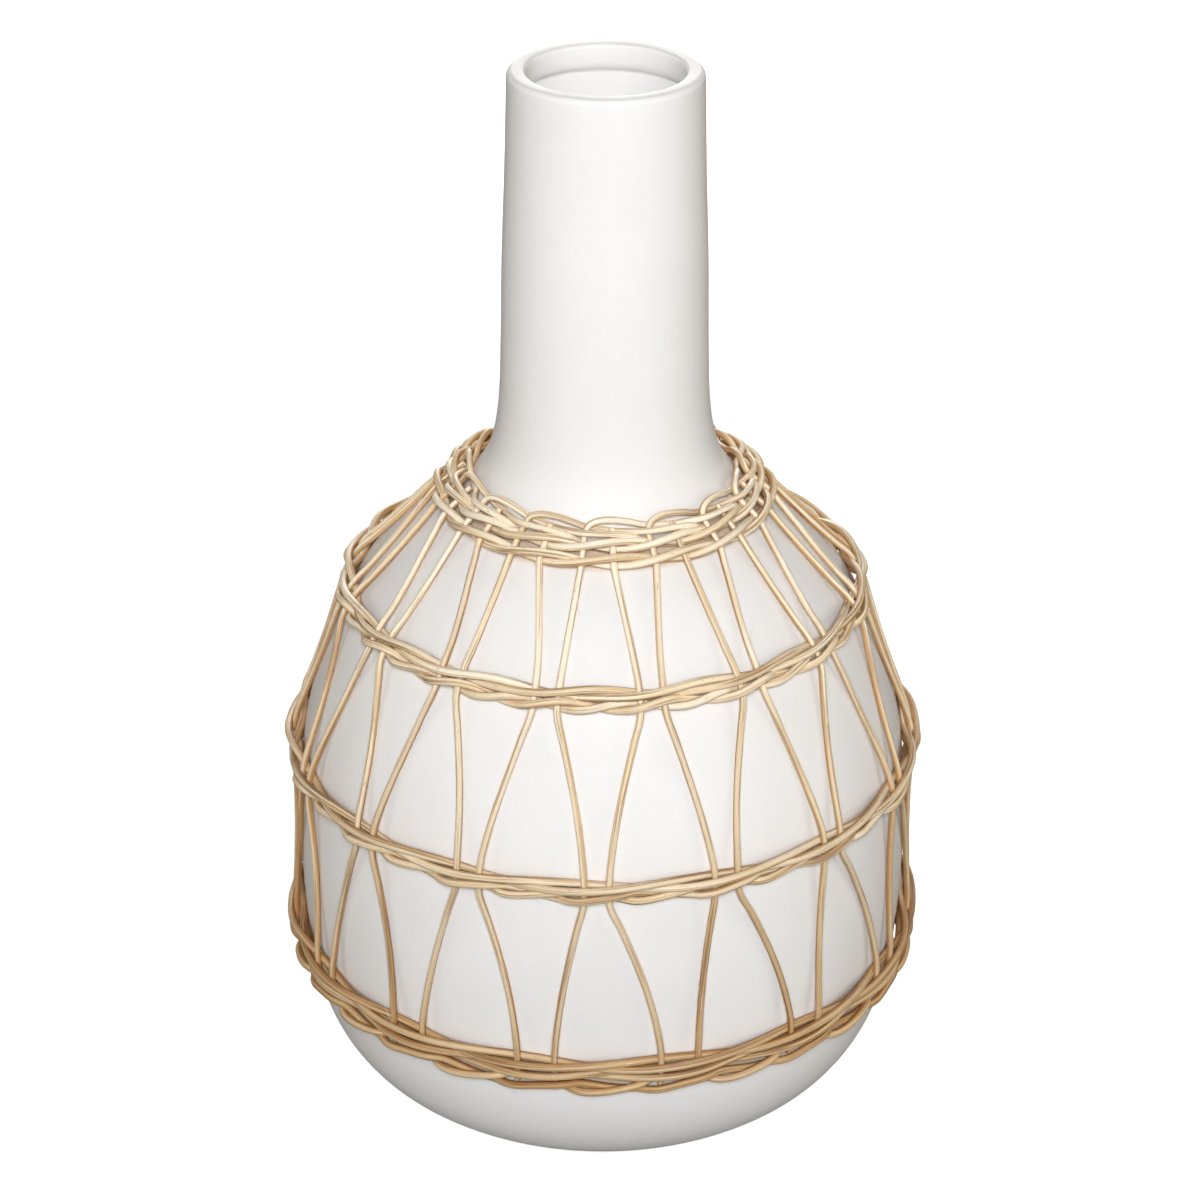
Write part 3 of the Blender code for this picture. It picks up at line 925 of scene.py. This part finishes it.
# Stops of a weaver from one pair to the next: place in the bay, reach up or down its row,
# reach in front of or behind the uprights, and freedom from the pairs.
# A weaver that changes sides once in a bay follows one slow wave.
def wave_stops():
    stops = []
    for place in WAVE_STOPS:
        turn = math.radians(HOLD_ANGLE + 180.0 * place)
        free = math.sin(math.pi * place) ** 2
        stops.append((place, TWIST_RADIUS * math.sin(turn), HOLD_DEPTH * math.cos(turn), free))
    return stops


# A weaver that turns once round its partner is pressed against the pairs, and tight between.
def turn_stops():
    stops = []
    for place in TURN_STOPS:
        turn = 2.0 * math.pi * place
        pressed = math.tanh(HOLD_SHARPNESS * math.cos(turn)) / math.tanh(HOLD_SHARPNESS)
        depth = pressed * (HOLD_DEPTH if pressed > 0.0 else TWIST_RADIUS)
        free = math.sin(math.pi * place) ** 2
        stops.append((place, TWIST_RADIUS * math.sin(turn), depth, free))
    return stops


# One weaver of a twisted row: in front of or behind each pair, changing sides in the bays.
# Between the pairs its row swells away from the level's middle, and shifts in or out.
def weaver_points(line, offset, shape, drift, starts_behind):
    row, swell, shift, full = shape
    stops = turn_stops() if full else wave_stops()
    points = []
    side = -1.0 if starts_behind else 1.0
    for pair in range(PAIR_COUNT):
        middle = FIRST_PAIR + (pair + offset) * BAY
        for place, rise, depth, free in stops:
            points.append(
                cage_point(
                    drifted(middle + place * BAY, drift),
                    line + row + swell * free + side * rise,
                    STAKE_HEIGHT + shift * free + side * depth,
                )
            )
        if not full:
            side = -side
    return points


def own_tone(node, power):
    return random.Random(node + "_tone").random() ** power


# Rows of two weavers that twist round each other, one in front of each pair and one behind it.
# The pairs of a row stand this share of a bay on from the first, and its rings start at the back.
def twisted_rows(context, name, line, offset, drift, shapes):
    sizes = context.scene.vase_sizes
    materials = weaver_materials(context.scene.vase_colours)
    for number, shape in enumerate(shapes, 1):
        for letter, starts_behind in (("a", False), ("b", True)):
            node = "%s_row_%d_cane_%s" % (name, number, letter)
            points = weaver_points(line, offset, shape, drift, starts_behind)
            half = len(points) // 2
            cane_piece(
                node, points[half:] + points[:half], sizes.weaver_radius, True,
                own_tone(node, WEAVER_TONES), materials, sizes.cane_step,
            )


# Where an upright crosses each level: line, side step in degrees, drift of the level,
# and how far above and below the line it stays straight.
def stake_levels(side):
    inner = 0.5 * BAY
    clear = 0.5 * CLOSE_ROWS + ROW_CLEAR
    collar = half_pair_angle(COLLAR_HALF_PAIR, COLLAR_LINE)
    upper = inner - half_pair_angle(UPPER_HALF_PAIR, UPPER_LINE)
    lower = half_pair_angle(LOWER_HALF_PAIR, LOWER_LINE)
    base = inner - half_pair_angle(BASE_HALF_PAIR, BASE_LINE)
    return (
        (COLLAR_LINE, side * collar, COLLAR_DRIFT, 0.0, 0.3 * ROW_CLEAR),
        (UPPER_LINE, side * upper, UPPER_DRIFT, clear, clear),
        (LOWER_LINE, side * lower, LOWER_DRIFT, clear, clear),
        (BASE_LINE, side * base, BASE_DRIFT, BASE_ROWS + ROW_CLEAR, BASE_ROWS + STAKE_END),
    )


# The upright from the collar down to its cut end in the base band.
def stake_down(pair, side):
    middle = FIRST_PAIR + pair * BAY
    levels = stake_levels(side)
    angles = [drifted(middle + level[1], level[2]) for level in levels]
    points = []
    for index, (line, step, drift, above, below) in enumerate(levels):
        if index > 0:
            points.append(cage_point(angles[index], line + above, STAKE_HEIGHT))
        points.append(cage_point(angles[index], line - below, STAKE_HEIGHT))
        if index == len(levels) - 1:
            break
        start = line - below
        end = levels[index + 1][0] + levels[index + 1][3]
        for share in SPAN_SHARES:
            eased = EARLY_BEND * math.sin(share * math.pi / 2.0) + (1.0 - EARLY_BEND) * share
            dip = SPAN_DIPS[index] * math.sin(share * math.pi)
            points.append(
                cage_point(
                    angles[index] + (angles[index + 1] - angles[index]) * eased,
                    start + (end - start) * share,
                    STAKE_HEIGHT - dip,
                )
            )
    return points


# The right upright of a pair stops with a cut end under the arch of the left one.
def right_stake_points(pair):
    angle = drifted(FIRST_PAIR + pair * BAY + stake_levels(1)[0][1], COLLAR_DRIFT)
    points = [
        cage_point(angle, COLLAR_LINE + COLLAR_ROWS + RIGHT_TAIL, STAKE_HEIGHT),
        cage_point(angle, COLLAR_LINE + 0.8 * COLLAR_ROWS, STAKE_HEIGHT),
    ]
    return points + stake_down(pair, 1)


# The left upright arches over, passes behind the next pair and in front of the one after.
def left_stake_points(pair):
    middle = FIRST_PAIR + pair * BAY
    points = []
    for place, rise, off in BORDER_STOPS:
        angle = drifted(middle + place * BAY, COLLAR_DRIFT)
        points.append(cage_point(angle, COLLAR_LINE + COLLAR_ROWS + rise, off))
    return points + stake_down(pair, -1)


# The material of this name, made at its first use.
def shared_material(name, maker, *details):
    return bpy.data.materials.get(name) or maker(*details)


def weaver_materials(colours):
    name = "weaver_cane_fibres"
    return [shared_material(name, cane_finish, name, colours, WEAVER_GRAIN)]


def upright_materials(colours):
    name = "upright_cane_fibres"
    return [
        shared_material(name, cane_finish, name, colours, UPRIGHT_GRAIN),
        shared_material("sawn_cane_end", cut_end_finish, colours),
    ]


# A torn fibre: it leaves a cane along its length, wanders aside and curls away from the vase.
def fibre_places(source):
    line = CANE_LINES[source.choice(sorted(CANE_LINES))]
    index = source.randrange(3, len(line) - 3)
    start = Vector(line[index])
    ahead = (Vector(line[index + 2]) - Vector(line[index - 2])).normalized()
    ahead *= source.choice((-1.0, 1.0))
    outward = Vector((start.x, start.y, 0.0)).normalized()
    aside = ahead.cross(outward).normalized() * source.uniform(-1.0, 1.0)
    length = source.uniform(*FIBRE_LENGTHS)
    curl = source.uniform(*FIBRE_CURLS)
    places = []
    for step in range(FIBRE_STEPS + 1):
        share = step / FIBRE_STEPS
        lift = curl * share ** 1.6 * (1.0 - 0.45 * share)
        places.append(
            start + outward * FIBRE_ROOT + aside * (FIBRE_ASIDE + 0.5 * length * share ** 2)
            + ahead * length * share + outward * length * lift
        )
    return places


def inside_solid_box(place):
    low, high = SOLID_BOX
    return low[0] <= place.x <= high[0] and low[1] <= place.y <= high[1]


class VASE_OT_casting(Operator):
    """Models the ceramic vase as one casting with a foot ring, a rounded lip and a hollow"""

    bl_idname = "vase.casting"
    bl_label = "Ceramic casting"

    def execute(self, context):
        sizes = context.scene.vase_sizes
        colours = context.scene.vase_colours
        shape = bmesh.new()
        profile = casting_profile(sizes)
        corners = [shape.verts.new((radius, 0.0, height)) for radius, height in profile]
        edges = [shape.edges.new(pair) for pair in zip(corners[:-1], corners[1:])]
        bmesh.ops.spin(
            shape,
            geom=corners + edges,
            cent=(0.0, 0.0, 0.0),
            axis=(0.0, 0.0, 1.0),
            angle=2.0 * math.pi,
            steps=sizes.turn_steps,
            use_merge=True,
        )
        bmesh.ops.remove_doubles(shape, verts=shape.verts, dist=MERGED)
        bmesh.ops.recalc_face_normals(shape, faces=shape.faces)
        mesh = bpy.data.meshes.new("cast_vase_body")
        shape.to_mesh(mesh)
        shape.free()
        mesh.shade_smooth()
        for face, glazed in zip(mesh.polygons, hollow_faces(mesh, sizes)):
            face.material_index = 1 if glazed else 0
        finishes = [clay_finish(colours), glaze_finish(colours)]
        place_piece("cast_vase_body", mesh, finishes, "vase_body")
        return {"FINISHED"}


class VASE_OT_bands(Operator):
    """Twists the weavers of the base, lower and upper bands round the uprights"""

    bl_idname = "vase.bands"
    bl_label = "Woven bands"

    def execute(self, context):
        twisted_rows(context, "base_band", BASE_LINE, 0.5, BASE_DRIFT, BASE_SHAPES)
        twisted_rows(context, "lower_band", LOWER_LINE, 0.0, LOWER_DRIFT, MIDDLE_SHAPES)
        twisted_rows(context, "upper_band", UPPER_LINE, 0.5, UPPER_DRIFT, MIDDLE_SHAPES)
        return {"FINISHED"}


class VASE_OT_collar(Operator):
    """Twists the two rows of the collar round the top of the uprights"""

    bl_idname = "vase.collar"
    bl_label = "Collar rows"

    def execute(self, context):
        twisted_rows(context, "collar", COLLAR_LINE, 0.0, COLLAR_DRIFT, COLLAR_SHAPES)
        return {"FINISHED"}


class VASE_OT_uprights(Operator):
    """Bends the pairs of uprights, and loops the left one of each pair into the border"""

    bl_idname = "vase.uprights"
    bl_label = "Upright canes"

    def execute(self, context):
        sizes = context.scene.vase_sizes
        materials = upright_materials(context.scene.vase_colours)
        for pair in range(PAIR_COUNT):
            for side, bend in (("left", left_stake_points), ("right", right_stake_points)):
                node = "%s_stake_%02d" % (side, pair + 1)
                cane_piece(
                    node, bend(pair), sizes.upright_radius, False,
                    own_tone(node, UPRIGHT_TONES), materials, sizes.cane_step,
                )
        return {"FINISHED"}


class VASE_OT_fibres(Operator):
    """Adds the few torn fibres that stand off the canes"""

    bl_idname = "vase.fibres"
    bl_label = "Loose fibres"

    def execute(self, context):
        if not CANE_LINES:
            raise RuntimeError("the canes are bent before their fibres are added")
        source = random.Random(FIBRE_SEED)
        curve = new_curve("loose_fibres", FIBRE_RADIUS, 0)
        curve.use_fill_caps = True
        thickness = [
            1.0 - (1.0 - FIBRE_TIP) * step / FIBRE_STEPS for step in range(FIBRE_STEPS + 1)
        ]
        while len(curve.splines) < context.scene.vase_sizes.fibre_count:
            places = fibre_places(source)
            if all(inside_solid_box(place) for place in places):
                add_spline(curve, places, thickness)
        mesh = swept_mesh(curve)
        turn_outwards(mesh, FIBRE_MERGED)
        finish = fibre_finish(context.scene.vase_colours)
        place_piece("loose_fibres", mesh, [finish])
        return {"FINISHED"}


# A soft round lamp that faces a point, or with a cone a narrow one with a soft edge.
def set_lamp(name, place, target, width, power, colour, cone):
    lamp = bpy.data.lights.new(name, "AREA" if cone is None else "SPOT")
    lamp.energy = power
    lamp.color = colour
    if cone is None:
        lamp.shape = "DISK"
        lamp.size = width
    else:
        lamp.spot_size = cone
        lamp.spot_blend = 1.0
        lamp.shadow_soft_size = 0.5 * width
    made = bpy.data.objects.new(name, lamp)
    made.location = place
    made.rotation_euler = (Vector(target) - Vector(place)).to_track_quat("-Z", "Y").to_euler()
    bpy.context.scene.collection.objects.link(made)


# Faint even light from all round, and white where the camera or a reflection looks past the
# floor.
def studio_sky():
    world = bpy.data.worlds.new("studio_sky")
    bpy.context.scene.world = world
    world.use_nodes = True
    tree = world.node_tree
    sky = tree.nodes["Background"]
    white = tree.nodes.new("ShaderNodeBackground")
    for background, strength in ((sky, SKY_STRENGTH), (white, 1.0)):
        background.inputs["Color"].default_value = WHITE
        background.inputs["Strength"].default_value = strength
    path = tree.nodes.new("ShaderNodeLightPath")
    seen = tree.nodes.new("ShaderNodeMath")
    seen.operation = "MAXIMUM"
    tree.links.new(path.outputs["Is Camera Ray"], seen.inputs[0])
    tree.links.new(path.outputs["Is Glossy Ray"], seen.inputs[1])
    mix = tree.nodes.new("ShaderNodeMixShader")
    tree.links.new(seen.outputs["Value"], mix.inputs["Fac"])
    tree.links.new(sky.outputs["Background"], mix.inputs[1])
    tree.links.new(white.outputs["Background"], mix.inputs[2])
    tree.links.new(mix.outputs["Shader"], tree.nodes["World Output"].inputs["Surface"])


def set_camera(context):
    camera = bpy.data.cameras.new("photo_camera")
    camera.sensor_width = SENSOR_WIDTH
    camera.lens = SENSOR_WIDTH * PHOTO_FOCAL_PIXELS / PHOTO_PIXELS
    camera.shift_x = CAMERA_SHIFT
    camera.clip_start, camera.clip_end = CAMERA_CLIP
    viewer = bpy.data.objects.new("photo_camera", camera)
    tilt = Matrix.Rotation(math.pi / 2.0 - CAMERA_DIP, 4, "X")
    roll = Matrix.Rotation(CAMERA_ROLL, 4, "Z")
    viewer.matrix_world = Matrix.Translation(CAMERA_PLACE) @ tilt @ roll
    context.scene.collection.objects.link(viewer)
    context.scene.camera = viewer


class VASE_OT_stage(Operator):
    """Sets out the pale floor, the soft lamps, the sky and the camera"""

    bl_idname = "vase.stage"
    bl_label = "Floor, lamps and camera"

    def execute(self, context):
        shape = bmesh.new()
        reach = context.scene.vase_sizes.floor_radius
        bmesh.ops.create_circle(shape, cap_ends=True, segments=FLOOR_SIDES, radius=reach)
        mesh = bpy.data.meshes.new("studio_floor")
        shape.to_mesh(mesh)
        shape.free()
        mesh.materials.append(floor_finish(context.scene.vase_colours))
        floor = bpy.data.objects.new("studio_floor", mesh)
        context.scene.collection.objects.link(floor)
        for lamp in LAMPS:
            set_lamp(*lamp)
        studio_sky()
        set_camera(context)
        context.scene.view_settings.view_transform = "Standard"
        return {"FINISHED"}


class VASE_PT_panel(Panel):
    bl_label = "Caged bottle vase"
    bl_idname = "VASE_PT_panel"
    bl_space_type = "VIEW_3D"
    bl_region_type = "UI"
    bl_category = "Vase"

    def draw(self, context):
        layout = self.layout
        for settings in (context.scene.vase_sizes, context.scene.vase_colours):
            box = layout.box()
            for name in settings.__annotations__:
                box.prop(settings, name)
        for operator in STEPS:
            layout.operator(operator.bl_idname)


STEPS = (
    VASE_OT_casting,
    VASE_OT_bands,
    VASE_OT_collar,
    VASE_OT_uprights,
    VASE_OT_fibres,
    VASE_OT_stage,
)
CLASSES = (VaseSizes, VaseColours) + STEPS + (VASE_PT_panel,)


def register():
    for kind in CLASSES:
        bpy.utils.register_class(kind)
    bpy.types.Scene.vase_sizes = PointerProperty(type=VaseSizes)
    bpy.types.Scene.vase_colours = PointerProperty(type=VaseColours)


def unregister():
    del bpy.types.Scene.vase_colours
    del bpy.types.Scene.vase_sizes
    for kind in reversed(CLASSES):
        bpy.utils.unregister_class(kind)


def main():
    register()
    bpy.ops.vase.casting()
    bpy.ops.vase.bands()
    bpy.ops.vase.collar()
    bpy.ops.vase.uprights()
    bpy.ops.vase.fibres()
    bpy.ops.vase.stage()


if __name__ == "__main__":
    main()
